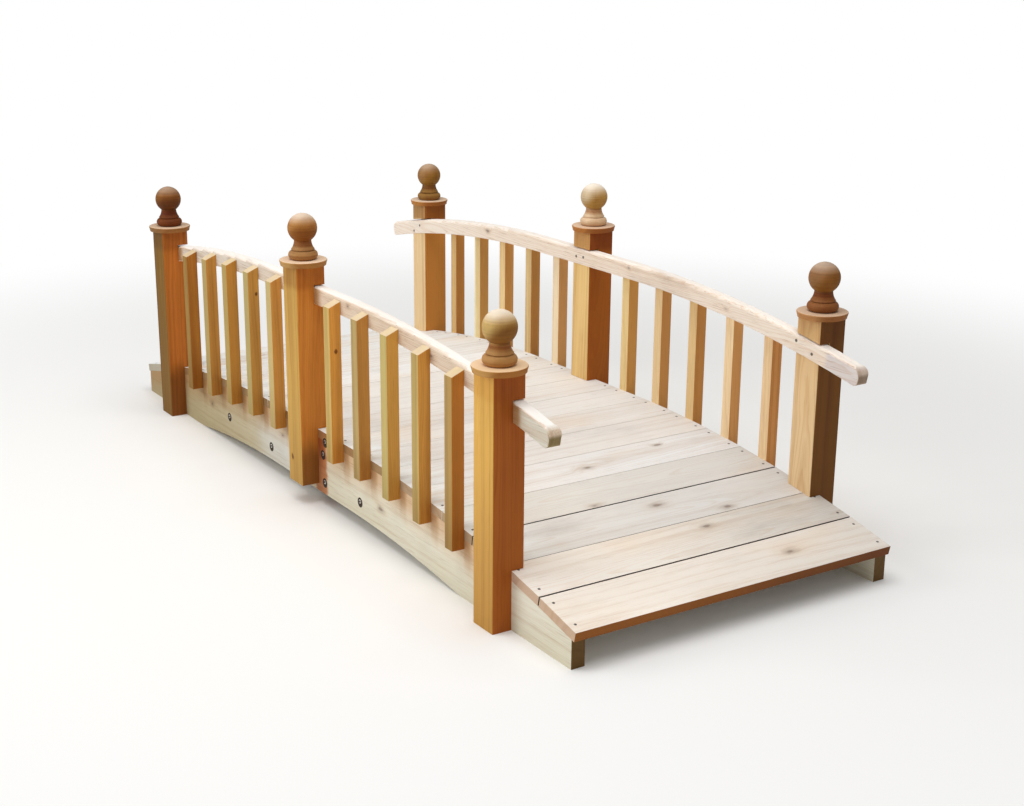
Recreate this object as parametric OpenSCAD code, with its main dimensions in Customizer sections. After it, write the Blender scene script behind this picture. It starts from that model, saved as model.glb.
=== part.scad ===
// Arched garden footbridge in cedar, with no moving part.
// Two bowed stringers carry a deck of crosswise boards. Each side has three square posts with
// turned tops, two bays of balusters and a handrail sawn to the same curve as the deck.
// X runs along the bridge, its front end at +X. Y runs across, the right side at +Y. Z is up.
// The origin is on the ground, in the middle of the footprint.

/* [Arch and deck] */
// Length of the deck from end to end, measured level
deck_l = 2680; // [2300:10:3000]
// Width of the deck, flush with the outer faces of the stringers
deck_w = 996; // [700:2:1400]
// Height of the walking surface at the crown, above the ground
crown_z = 228; // [205:1:320]
// Length of the straight stretch at the crown
crown_l = 500; // [300:10:700]
// Radius of the walking surface to either side of the crown
arch_r = 4600; // [4000:10:6000]
// Number of deck boards, which share the length of the curve
board_n = 18; // [14:1:22]
// Thickness of the deck boards
board_t = 25; // [18:0.5:32]
// Gap between neighbouring deck boards
board_gap = 2; // [1:0.5:8]
// How much wider the first and the third joint from each end of the deck stand open
joint_open = 3; // [0:0.5:6]

/* [Stringers and cross joists] */
// Thickness of each stringer
stringer_t = 38; // [25:1:60]
// Depth of the stringers between their two curved edges
stringer_d = 164; // [130:1:172]
// How far each stringer stops short of the end of the deck
stringer_setback = 15; // [0:1:60]
// Thickness of the joists that tie the stringers
joist_t = 38; // [25:1:60]
// Depth of the joists
joist_d = 89; // [60:1:110]
// Distance from the crown to the first joist, and from there to the next
joist_pitch = 303; // [220:1:360]

/* [Posts] */
// Width of the square posts
post_w = 89; // [70:1:110]
// Distance from the end of the deck to the centre of the end posts
post_setback = 310; // [240:5:400]
// How far each post reaches in over the deck, where it is housed for the handrail
post_inset = 35.5; // [20:0.5:36]
// Height of the posts above the top of the handrail
post_stub = 57; // [30:1:120]
// Height of the open joint over the handrail where it passes through a post
housing_gap = 3; // [0.5:0.5:8]
// Height of the middle posts' lower ends above the stringers' lower edge
middle_post_lift = 23; // [0:1:60]
// Radius of the eased long edges of the posts
post_ease = 4; // [1:0.5:8]

/* [Caps and finials] */
// Diameter of the turned cap on each post
cap_d = 136; // [128:1:160]
// Thickness of the cap
cap_t = 16; // [12:1:30]
// How much the edge of the cap slopes in from its top to its underside
cap_taper = 3; // [0:0.5:8]
// Radius of the rounded upper corner of that edge
cap_round = 3; // [1:0.5:5]
// Width of the chamfer on its lower corner
cap_chamfer = 1.5; // [0.5:0.5:3]
// Diameter of the bead at the foot of the finial
bead_d = 84; // [70:1:110]
// Height of the bead
bead_h = 26; // [16:1:34]
// Height of the groove over the bead
groove_h = 3; // [1.5:0.5:5]
// Diameter in the groove
groove_d = 62; // [50:1:66]
// Diameter at the foot of the flare
flare_d = 67; // [60:1:78]
// Diameter of the neck under the ball
neck_d = 49; // [36:1:56]
// Diameter of the ball
ball_d = 84; // [76:1:110]
// Height of the ball's top above the cap
finial_h = 131; // [122:1:170]

/* [Handrails and balusters] */
// Height of the top of the handrails above the walking surface
rail_h = 423; // [380:1:470]
// Depth of the handrails
rail_d = 50; // [48:1:70]
// Thickness of the handrails
rail_t = 38; // [36:1:60]
// How far the handrails run past the centres of the end posts, measured level
rail_overhang = 195; // [120:1:230]
// Radius of the handrails' rounded top edges
rail_round = 10; // [3:0.5:12]
// Radius of the handrails' eased lower edges
rail_ease = 2; // [1:0.5:5]
// Radius of the rounded upper corner at each end of a handrail
rail_nose = 31; // [5:1:34]
// Radius of the rounded lower corner at each end
rail_chin = 15; // [2:1:16]
// Radius of the rounded upright edges at each end
rail_cheek = 5; // [2:0.5:12]
// Width of the square balusters
baluster_w = 36; // [25:1:50]
// How far the top of a baluster is below the top of the handrail, on the handrail's side
baluster_tuck = 11; // [0:1:25]
// How much lower the bevelled top is at the outer face of a baluster
baluster_bevel = 15; // [0:1:20]
// How far the balusters reach below the walking surface
baluster_drop = 54; // [40:1:80]
// Radius of the eased long edges of the balusters
baluster_ease = 1.5; // [0.5:0.5:4]
// Number of balusters between two posts
baluster_n = 5; // [3:1:6]

/* [Fit] */
// Clearance round a piece that is let into another
fit_gap = 0.3; // [0.1:0.1:1]

/* [Hidden] */
// Facets of a whole circle, for the large curves and for the small ones
arch_fn = 1080;
turn_fn = 96;
edge_fn = 32;
// Amount by which a cutting shape runs past the face that it cuts
past = 5;
// Share of its radius by which a cut round is set towards its edge
round_lead = 0.01;
// Width by which a flare's block stands out past its foot before the cove is cut
turn_lap = 2;

// The walking surface is a straight crown between two arcs that leave it tangentially
crown_x = crown_l / 2;
arc_angle = asin((deck_l / 2 - crown_x) / arch_r);
curve_l = crown_l + 2 * arch_r * arc_angle * PI / 180;
board_pitch = (curve_l + board_gap) / board_n;
board_w = board_pitch - board_gap;
// A flat board stands this far above the curve at its long edges
board_rise = board_w * board_w / (8 * arch_r);

deck_y = deck_w / 2;
post_y = deck_y - post_inset + post_w / 2;
rail_top = crown_z + rail_h;
post_spacing = deck_l / 2 - post_setback;
rail_angle = asin((post_spacing + rail_overhang - crown_x) / arch_r);
stringer_top = crown_z - board_t;
stringer_low = stringer_top - stringer_d;
stringer_half = deck_l / 2 - stringer_setback;
bay_gap = (post_spacing - post_w - baluster_n * baluster_w) / (baluster_n + 1);
baluster_l = rail_h - baluster_tuck + baluster_drop;

sides = [["left", -1], ["right", 1]];
ends = [["front", 1], ["back", -1]];
stations = [["front", post_spacing], ["middle", 0], ["back", -post_spacing]];
boards = [for (i = [1 : board_n]) [str("deck_board_", i < 10 ? "0" : "", i), i]];

// Drop of a curve of radius r below its crown, at the distance x from the middle
function drop(x, r) = r - sqrt(r * r - pow(max(0, abs(x) - crown_x), 2));

// Outline below a curve with its crown at the height top, down to the height low
module under_curve(top, r, half_l, low) {
    intersection() {
        union() {
            translate([-crown_x, low])
                square([crown_l, top - low]);
            for (end = [-1, 1])
                translate([end * crown_x, top - r])
                    circle(r = r, $fn = arch_fn);
        }
        translate([-half_l, low])
            square([2 * half_l, top - low]);
    }
}

// Square section with eased corners
module eased_square(w, ease) {
    union() {
        square([w - 2 * ease, w], center = true);
        square([w, w - 2 * ease], center = true);
        for (x = [-1, 1], y = [-1, 1])
            translate([x * (w / 2 - ease), y * (w / 2 - ease)])
                circle(r = ease, $fn = edge_fn);
    }
}

// An outline drawn in X and Z, given thickness in Y from y0 to y1
module across(y0, y1) {
    translate([0, max(y0, y1), 0])
        rotate([90, 0, 0])
            linear_extrude(abs(y1 - y0))
                children();
}

// Stringer: a board of even depth, bowed, with level feet where the ground cuts its lower edge
module stringer(side) {
    color("#d9cbb4")
        across(side * deck_y, side * (deck_y - stringer_t))
            difference() {
                under_curve(stringer_top, arch_r - board_t, stringer_half, 0);
                under_curve(stringer_low, arch_r - board_t - stringer_d, deck_l, -past);
            }
}

// Four joists on edge between the stringers, their lower edges level with the stringers' curve
module cross_joists() {
    color("#b98a55")
        for (end = [-1, 1], x = [joist_pitch, 2 * joist_pitch])
            translate([end * x, 0, stringer_low - drop(x - joist_t / 2, arch_r - board_t - stringer_d)])
                translate([-joist_t / 2, -deck_y + stringer_t, 0])
                    cube([joist_t, deck_w - 2 * stringer_t, joist_d]);
}

// Deck board number i, counted from the back: flat, and tangent to the curve along its middle.
// The second and the fourth board from each end are narrower, so the joint beyond them stands open.
module deck_board(i) {
    s = (i - (board_n + 1) / 2) * board_pitch;
    from_end = min(i, board_n + 1 - i);
    trim = from_end == 2 || from_end == 4 ? joint_open : 0;
    turn = max(0, abs(s) - crown_x) / arch_r * 180 / PI;
    x = min(abs(s), crown_x) + arch_r * sin(turn);
    color("#e6d5bf")
        translate([sign(s) * x, 0, crown_z - arch_r * (1 - cos(turn))])
            rotate([0, sign(s) * turn, 0])
                translate([(s < 0 ? trim : 0) - board_w / 2, -deck_y, -board_t])
                    cube([board_w - trim, deck_w, board_t]);
}

// Post: housed for the handrail, and cut away below so that it laps the stringer's outer face
module post(side, x) {
    low = x == 0 ? stringer_low + middle_post_lift : 0;
    high = rail_top - drop(x, arch_r) + post_stub;
    seat = fit_gap + board_rise;
    color("#c98c48")
        difference() {
            translate([x, side * post_y, low])
                linear_extrude(high - low)
                    eased_square(post_w, post_ease);
            across(side * deck_y, side * (deck_y - post_inset - past))
                difference() {
                    under_curve(rail_top + housing_gap, arch_r + housing_gap, deck_l, 0);
                    under_curve(rail_top - rail_d - fit_gap, arch_r - rail_d - fit_gap, deck_l + past, -past);
                }
            across(side * deck_y, side * (deck_y - post_inset - past))
                under_curve(crown_z + seat, arch_r + seat, deck_l, -past);
        }
}

// Cap: a turned disc whose edge slopes in towards its underside
module cap(side, x) {
    top_r = cap_d / 2;
    low_r = top_r - cap_taper;
    color("#dcb98a")
        translate([x, side * post_y, rail_top - drop(x, arch_r) + post_stub])
            rotate_extrude($fn = turn_fn) {
                polygon([
                    [0, 0],
                    [low_r - cap_chamfer, 0],
                    [low_r, cap_chamfer],
                    [top_r, cap_t - cap_round],
                    [0, cap_t - cap_round]]);
                square([top_r - cap_round, cap_t]);
                translate([top_r - cap_round, cap_t - cap_round])
                    circle(r = cap_round, $fn = edge_fn);
            }
}

// Finial: a bead, a groove, a flare that narrows to the neck, and a ball
module finial(side, x) {
    bead_r = bead_h / 2;
    flare_low = bead_h + groove_h;
    ball_z = finial_h - ball_d / 2;
    flare_high = ball_z - sqrt(ball_d * ball_d - neck_d * neck_d) / 2;
    flare_rise = flare_high - flare_low;
    flare_in = (flare_d - neck_d) / 2;
    cove_r = (flare_in * flare_in + flare_rise * flare_rise) / (2 * flare_in);
    color("#b67a48")
        translate([x, side * post_y, rail_top - drop(x, arch_r) + post_stub + cap_t])
            rotate_extrude($fn = turn_fn) {
                square([bead_d / 2 - bead_r, bead_h]);
                translate([bead_d / 2 - bead_r, bead_r])
                    circle(r = bead_r, $fn = turn_fn);
                square([groove_d / 2, flare_low]);
                difference() {
                    translate([0, flare_low])
                        square([flare_d / 2 + turn_lap, ball_z - flare_low]);
                    translate([neck_d / 2 + cove_r, flare_high])
                        circle(r = cove_r, $fn = turn_fn);
                }
                intersection() {
                    translate([0, ball_z])
                        circle(d = ball_d, $fn = turn_fn);
                    translate([0, flare_low])
                        square([ball_d, finial_h]);
                }
            }
}

// Section of the handrail: X is the distance from the centre of its curve, Y is across
module rail_section() {
    half = rail_t / 2;
    union() {
        translate([arch_r - rail_d, -half + rail_ease])
            square([rail_d - rail_round, rail_t - 2 * rail_ease]);
        translate([arch_r - rail_d + rail_ease, -half])
            square([rail_d - rail_ease - rail_round, rail_t]);
        translate([arch_r - rail_d + rail_ease, -half + rail_round])
            square([rail_d - rail_ease, rail_t - 2 * rail_round]);
        for (y = [-1, 1]) {
            translate([arch_r - rail_round, y * (half - rail_round)])
                circle(r = rail_round, $fn = edge_fn);
            translate([arch_r - rail_d + rail_ease, y * (half - rail_ease)])
                circle(r = rail_ease, $fn = edge_fn);
        }
    }
}

// What is cut off an edge along Z to round it to the radius r, with the material at +X and +Y.
// The round stands a hair off both faces, so that it meets each of them in a clear line.
module round_waste(r, l) {
    centre = r * (1 - round_lead);
    translate([0, 0, -l / 2])
        linear_extrude(l)
            difference() {
                translate([-past, -past])
                    square(centre + past);
                translate([centre, centre])
                    circle(r = r, $fn = turn_fn);
            }
}

// What is cut off the back end of a handrail: an upper and a lower corner and two upright edges
module rail_end_waste() {
    rotate([-90, 0, 0])
        round_waste(rail_nose, rail_t + 2 * past);
    translate([0, 0, -rail_d])
        rotate([90, 0, 0])
            round_waste(rail_chin, rail_t + 2 * past);
    for (face = [0, 1])
        mirror([0, face, 0])
            translate([0, -rail_t / 2, -rail_d / 2])
                round_waste(rail_cheek, rail_d + 2 * past);
}

// Handrail: the section carried along the straight crown and the two arcs, with rounded ends
module handrail(side) {
    centre_z = rail_top - arch_r;
    color("#eadccb")
        translate([0, side * (deck_y - rail_t / 2), centre_z])
            difference() {
                union() {
                    translate([-crown_x, 0, 0])
                        rotate([90, 0, 90])
                            linear_extrude(crown_l)
                                rotate(90)
                                    rail_section();
                    for (end = [0, 1])
                        mirror([end, 0, 0])
                            translate([-crown_x, 0, 0])
                                rotate([90, 0, 0])
                                    rotate(90)
                                        rotate_extrude(angle = rail_angle, $fn = arch_fn)
                                            rail_section();
                }
                for (end = [0, 1])
                    mirror([end, 0, 0])
                        translate([-crown_x, 0, 0])
                            rotate([0, -rail_angle, 0])
                                translate([0, 0, arch_r])
                                    rail_end_waste();
            }
}

// One baluster on the left side, upright at the origin, its top bevelled down towards -Y
module baluster() {
    half = baluster_w / 2;
    intersection() {
        linear_extrude(baluster_l)
            eased_square(baluster_w, baluster_ease);
        rotate([90, 0, 90])
            translate([0, 0, -half])
                linear_extrude(baluster_w)
                    polygon([[-half, 0], [half, 0], [half, baluster_l], [-half, baluster_l - baluster_bevel]]);
    }
}

// One bay of balusters on the outer faces of the stringer and the handrail
module balusters(side, end) {
    color("#cf9450")
        for (i = [1 : baluster_n]) {
            x = end * (post_w / 2 + i * bay_gap + (i - 0.5) * baluster_w);
            translate([x, side * (deck_y + baluster_w / 2), crown_z - drop(x, arch_r) - baluster_drop])
                mirror([0, side > 0 ? 1 : 0, 0])
                    baluster();
        }
}

for (side = sides)
    stringer(side[1]);
cross_joists();
for (board = boards)
    deck_board(board[1]);
for (side = sides, at = stations) {
    post(side[1], at[1]);
    cap(side[1], at[1]);
    finial(side[1], at[1]);
}
for (side = sides)
    handrail(side[1]);
for (side = sides, end = ends)
    balusters(side[1], end[1]);
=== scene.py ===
# %% [markdown]
# # An arched garden footbridge in cedar
# The solids come from the CAD model and stay exactly where they are. This script gives them
# their wood, adds the screws and nails that hold them, and sets up a camera, a floor and lamps.
# Every length is in metres. X runs along the bridge, its front end at +X, Y runs across it with
# the left side at -Y, and Z is up.

# %% Load the solids
import math
import numpy as np
import bpy
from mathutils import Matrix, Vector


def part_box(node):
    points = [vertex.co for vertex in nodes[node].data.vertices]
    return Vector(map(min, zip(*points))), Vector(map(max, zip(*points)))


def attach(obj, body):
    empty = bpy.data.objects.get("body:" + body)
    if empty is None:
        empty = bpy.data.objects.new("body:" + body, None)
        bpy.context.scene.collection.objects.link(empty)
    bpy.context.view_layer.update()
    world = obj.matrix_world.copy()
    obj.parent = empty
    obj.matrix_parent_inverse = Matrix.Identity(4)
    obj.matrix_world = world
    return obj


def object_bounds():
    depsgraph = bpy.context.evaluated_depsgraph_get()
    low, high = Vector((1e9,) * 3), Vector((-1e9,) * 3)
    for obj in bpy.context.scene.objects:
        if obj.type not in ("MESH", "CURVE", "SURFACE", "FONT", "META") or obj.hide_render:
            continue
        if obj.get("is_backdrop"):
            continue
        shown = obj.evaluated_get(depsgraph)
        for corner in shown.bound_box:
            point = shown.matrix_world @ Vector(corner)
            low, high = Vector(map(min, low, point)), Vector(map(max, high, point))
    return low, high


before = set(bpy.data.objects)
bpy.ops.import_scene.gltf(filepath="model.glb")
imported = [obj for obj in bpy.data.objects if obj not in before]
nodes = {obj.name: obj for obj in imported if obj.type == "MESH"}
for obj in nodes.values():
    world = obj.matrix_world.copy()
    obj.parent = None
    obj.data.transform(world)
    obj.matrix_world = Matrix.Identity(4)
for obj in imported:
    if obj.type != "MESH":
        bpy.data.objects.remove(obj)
cad_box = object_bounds()
scene = bpy.context.scene
print(len(nodes), "solids, from", cad_box[0], "to", cad_box[1])

# %% [markdown]
# ## The camera
# The camera stands off the front end, to the left, a metre above the handrails, where lines that
# are level and upright on a real bridge meet the picture at the same slopes. Its place, its
# turn and its focal length were worked out together from the corners of posts and boards.
# A camera and a lamp both look along their own -Z, so one function sets up either of them from
# the direction that it looks back along.

# %% Camera
def stand(name, data, place, back, roll=0.0):
    """Adds an object that looks away from back: right = upright x back, up = back x right, then both are
    turned by the roll: right = right * cos + up * sin, up = up * cos - right * sin."""
    back = np.array(back, float) / np.linalg.norm(back)
    right = np.cross([0.0, 0.0, 1.0], back)
    right /= np.linalg.norm(right)
    up = np.cross(back, right)
    placed = np.eye(4)
    placed[:3, 0] = math.cos(roll) * right + math.sin(roll) * up
    placed[:3, 1] = math.cos(roll) * up - math.sin(roll) * right
    placed[:3, 2] = back
    placed[:3, 3] = place
    made = bpy.data.objects.new(name, data)
    scene.collection.objects.link(made)
    made.matrix_world = placed.T.tolist()
    return made


azimuth, elevation, roll = math.radians(57.95), math.radians(16.78), math.radians(0.13)
eye = (3.9904, -2.4170, 1.6345)
image_w, image_h = 1024, 806
focal_px, centre_x, centre_y = 1578.1, 478.86, 399.40
sensor_mm = 36

lens = bpy.data.cameras.new("camera")
lens.sensor_width = sensor_mm
lens.lens = focal_px / image_w * sensor_mm
lens.shift_x = (image_w / 2 - centre_x) / image_w
lens.shift_y = (centre_y - image_h / 2) / image_w
lens.clip_end = 100
level = math.cos(elevation)
towards_eye = (math.sin(azimuth) * level, -math.cos(azimuth) * level, math.sin(elevation))
scene.camera = stand("camera", lens, eye, towards_eye, roll)
print("lens", round(lens.lens, 2), "mm")

# %% [markdown]
# ## Formulas for a surface
# A finish that is right from every side and at every distance is worked out, point by point,
# from the place on the solid. Blender does such sums with nodes, and a net of nodes drawn by
# hand is hard to read back. Here a small class wraps a node's output, so that an ordinary line
# of arithmetic adds the nodes, and a second one adds any other node to a net.

# %% Arithmetic that adds nodes
class Value:
    """What a node gives, such as a number that changes over a surface. The signs + - * / and ** add a
    Math node each, and so do abs and round."""

    def __init__(self, tree, socket):
        self.tree, self.socket = tree, socket

    def math(self, operation, *terms):
        node = self.tree.nodes.new("ShaderNodeMath")
        node.operation = operation
        for slot, term in zip(node.inputs, terms):
            if isinstance(term, Value):
                self.tree.links.new(term.socket, slot)
            else:
                slot.default_value = term
        return Value(self.tree, node.outputs[0])

    def __add__(self, other):
        return self.math("ADD", self, other)

    def __sub__(self, other):
        return self.math("SUBTRACT", self, other)

    def __rsub__(self, other):
        return self.math("SUBTRACT", other, self)

    def __mul__(self, other):
        return self.math("MULTIPLY", self, other)

    def __truediv__(self, other):
        return self.math("DIVIDE", self, other)

    def __rtruediv__(self, other):
        return self.math("DIVIDE", other, self)

    def __pow__(self, other):
        return self.math("POWER", self, other)

    def __abs__(self):
        return self.math("ABSOLUTE", self)

    def __round__(self):
        return self.math("ROUND", self)

    __radd__, __rmul__ = __add__, __mul__


class Net:
    """A net of nodes, and one method that adds any kind of node to it."""

    def __init__(self, tree):
        self.tree = tree

    def node(self, kind, settings=None, sockets=None, output=0):
        """Adds a node: its settings are set first, then the values or the links of its sockets."""
        node = self.tree.nodes.new(kind)
        for key, setting in (settings or {}).items():
            if key == "stops":
                elements = node.color_ramp.elements
                while len(elements) < len(setting):
                    elements.new(1.0)
                for element, (position, color) in zip(elements, setting):
                    element.position, element.color = position, (*color, 1)
            else:
                setattr(node, key, setting)
        for key, value in (sockets or {}).items():
            self.set(node.inputs[key], value)
        return Value(self.tree, node.outputs[output])

    def set(self, socket, value):
        """Gives a socket a link or a plain value."""
        if isinstance(value, Value):
            self.tree.links.new(value.socket, socket)
        else:
            socket.default_value = value

    def split(self, vector):
        """The three numbers of a vector."""
        first = self.node("ShaderNodeSeparateXYZ", sockets={0: vector})
        return [Value(self.tree, socket) for socket in first.socket.node.outputs]

    def join(self, x, y, z):
        return self.node("ShaderNodeCombineXYZ", sockets={0: x, 1: y, 2: z})

    def rise(self, value, low, high):
        """Rises smoothly from 0 where the value is low to 1 where it is high."""
        smooth = {"interpolation_type": "SMOOTHSTEP"}
        return self.node("ShaderNodeMapRange", smooth, {0: value, 1: low, 2: high})

    def noise(self, place, scale, detail, roughness=0.5):
        """Soft noise round 0 that changes with the place."""
        sockets = {"Vector": place, "Scale": scale, "Detail": detail, "Roughness": roughness}
        return self.node("ShaderNodeTexNoise", None, sockets) - 0.5

    def ripple(self, distance, scale, detail, roughness):
        """Soft noise round 0 that changes with one number, such as a distance."""
        sockets = {"W": distance, "Scale": scale, "Detail": detail, "Roughness": roughness}
        return self.node("ShaderNodeTexNoise", {"noise_dimensions": "1D"}, sockets) - 0.5

    def mix(self, amount, first, second, blend="MIX"):
        """A colour between the first and the second, or with blend MULTIPLY between the first and the
        product of both."""
        ends = {0: amount, 6: first, 7: second}
        ends = {key: (*end, 1) if isinstance(end, tuple) else end for key, end in ends.items()}
        return self.node("ShaderNodeMix", {"data_type": "RGBA", "blend_type": blend}, ends, output=2)


class Finish(Net):
    """A material, with its Principled shader and the place of a point on the solid."""

    def __init__(self, name):
        self.material = bpy.data.materials.new(name)
        self.material.use_nodes = True
        super().__init__(self.material.node_tree)
        self.shader = self.tree.nodes["Principled BSDF"]
        self.place = self.node("ShaderNodeTexCoord", output=3)

    def feed(self, **sockets):
        """Sets or links the shader's own sockets: feed(Roughness=0.6)."""
        for key, value in sockets.items():
            self.set(self.shader.inputs[key.replace("_", " ")], value)
        return self.material


print("values, nets and finishes are ready")

# %% [markdown]
# ## Cedar
# A sawn board is a slice through the cone-like layers that a tree adds each year. The distance
# from the pith, the tree's middle line, divided by the width of a year's layer, counts the
# layers, and the fraction of that count is pale early wood that darkens into a thin line of late
# wood. Where the pith lies, how it leans and how the layers waver differ from piece to piece,
# so each piece has numbers of its own. The same formula gives stripes on faces along the grain,
# pointed arches on faces that graze the layers, and arcs of circles on sawn ends, and they meet
# at the edges as they do in real wood, which a flat picture wrapped round a piece can't do.

# %% The grain of one piece
def tones(middle, spread=1.0):
    """A pale, a middle and a deep tone of one wood: the pale one is brighter, the deep one redder."""
    lift = 1 + 0.45 * spread * (1 - max(middle))
    pale = tuple(min(1.0, c * lift) for c in middle)
    deep = tuple(c * (1 - loss * spread) for c, loss in zip(middle, (0.26, 0.40, 0.52)))
    return pale, middle, deep


class Wood(Finish):
    """A finish that knows a point's place x, y, z, the direction nx, ny, nz in which its face looks, and
    its distances across, over and along the grain. Pieces that stand in a row at both sides of x = 0
    share a finish: each gets its own number, and distances from its own middle."""

    def __init__(self, name, grain, seed, middle, row):
        super().__init__(name)
        self.x, self.y, self.z = self.split(self.place)
        self.nx, self.ny, self.nz = self.split(Value(self.tree, self.place.socket.node.outputs["Normal"]))
        self.faces_front = self.rise(self.nx, 0.35, 0.85)
        self.grain = "xyz".index(grain)

        self.spot, self.own = [self.x, self.y, self.z], 0.0
        if row:
            first, pitch = row
            number = round((abs(self.x) - first) / pitch)
            self.spot[0] = abs(self.x) - first - number * pitch
            drawn = {"W": number + seed * 1.37}
            self.own = self.node("ShaderNodeTexWhiteNoise", {"noise_dimensions": "1D"}, drawn) - 0.5

        order = ((1, 2, 0), (0, 2, 1), (0, 1, 2))[self.grain]
        self.across, self.over, self.along = [self.spot[i] - float(middle[i]) for i in order]
        chance = np.random.default_rng(seed)
        self.turn = chance.uniform(0, 2 * math.pi)
        self.lean = chance.uniform(-0.02, 0.02, 2).tolist()
        self.away = chance.uniform(-9, 9, 3).tolist()

    def patches(self, scale, stretch, detail=2.0, roughness=0.5):
        """Noise that is drawn out along the grain by one over stretch."""
        spot = self.join(self.across + self.away[0] + self.own * 3.0, self.over + self.away[1],
                         self.along * stretch + self.away[2])
        return self.noise(spot, scale, detail, roughness)

    def from_line(self, spot, axis):
        """Distance from a line through the spot along the axis, halved along the grain."""
        first, second = [(self.spot[i] - spot[i]) * (0.5 if i == self.grain else 1.0)
                         for i in range(3) if i != axis]
        return (first ** 2 + second ** 2) ** 0.5


print("pale, middle and deep cedar:", tones((0.8, 0.5, 0.2)))

# %% [markdown]
# A knot is a branch cut through. Its core is dark, a brown cloud surrounds it, and the layers
# swing out round it.

# %% Knots and layers
def knot_zones(wood, knots):
    """How far a point lies in the halo, the cloud and the core of the knots, each from 0 to 1."""
    halo, cloud, core = 0.0, 0.0, 0.0
    ragged = wood.patches(70, 0.35, 3.0)
    for spot, axis, size in knots:
        near = wood.from_line(spot, axis) + ragged * size * 1.6
        halo = (1 - wood.rise(near, size * 0.6, size * 3.0)) + halo
        cloud = (1 - wood.rise(near, size * 0.2, size * 1.7)) + cloud
        core = (1 - wood.rise(near, size * 0.1, size * 0.7)) + core
    return halo, cloud, core


def year_layers(wood, pith, year, halo):
    """Wide stripes that follow the layers, and the dark lines of late wood.
    layers = (distance from the leaning pith + slow wavering + push round knots) / width of a year
    late wood = where the fraction of layers is between 0.5 and 0.9, fading out at both sides"""
    wavering = wood.patches(6.0, 0.22, 3.0) * 0.030 + wood.patches(45.0, 0.12) * 0.0022
    sideways = wood.across - pith * math.cos(wood.turn) - wood.lean[0] * wood.along + wood.own * 0.03
    upwards = wood.over - pith * math.sin(wood.turn) - wood.lean[1] * wood.along
    from_pith = (sideways ** 2 + upwards ** 2) ** 0.5 + wavering + halo * 0.006
    fraction = wood.node("ShaderNodeMath", {"operation": "FRACT"}, {0: from_pith / year})
    stripes = wood.ripple(from_pith + wood.away[0], 60.0, 3.0, 0.6)
    late = wood.rise(fraction, 0.5, 0.9) * (1 - wood.rise(fraction, 0.93, 1.0)) * (stripes * 1.6 + 0.75)
    return stripes, late


print("knots and layers are ready")

# %% [markdown]
# What the weather does lies over the layers: smudges, and fine splits along the grain, which
# makers call checks. Faces that look up are lightened, partly by the sun's bleaching and partly
# with painted light from above, and faces towards the front end of the bridge are tinted with
# painted shade. The end faces have kept the redder tone of new cedar. So the colour starts as a
# ramp from the deep to the pale tone and is changed by one mix after another, each with a mask for
# where it acts. A turned piece has fine rings from the lathe. Bumps that follow the same layers,
# splits and rings give the relief.

# %% One finish for a piece of cedar
late_tint, smudge_tint, check_tint = (0.80, 0.62, 0.46), (0.80, 0.79, 0.79), (0.66, 0.55, 0.47)
halo_tint, cloud_tone, core_tone = (0.86, 0.74, 0.62), (0.40, 0.33, 0.28), (0.20, 0.12, 0.08)
bump_depth = 0.0005


def layered_color(wood, three_tones, stripes, fibre, rings, contrast, shift, turned):
    """tone = middle tone + wide stripes + soft patches + fine fibre, and rings on a turned piece"""
    tone = stripes * (1.35 * contrast) + wood.patches(4.5, 0.3, 3.0) * (0.9 * contrast)
    tone = tone + fibre * 0.35 + wood.own * 0.55 + (0.5 + shift)
    if turned:
        tone = rings * turned + wood.patches(28.0, 1.0, 3.0) * (0.9 * turned) + tone
    pale, mid, deep = three_tones
    stops = ((0.18, deep), (0.5, mid), (0.82, pale))
    return wood.node("ShaderNodeValToRGB", {"stops": stops}, {0: tone})


def sunny(wood, crown_from):
    """How much a face looks up; on a turned piece, only above a given height."""
    if crown_from:
        return wood.rise(wood.nz, 0.25, 1.0) * wood.rise(wood.z, crown_from, crown_from + 0.02)
    return wood.rise(wood.nz, 0.5, 0.97)


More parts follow.
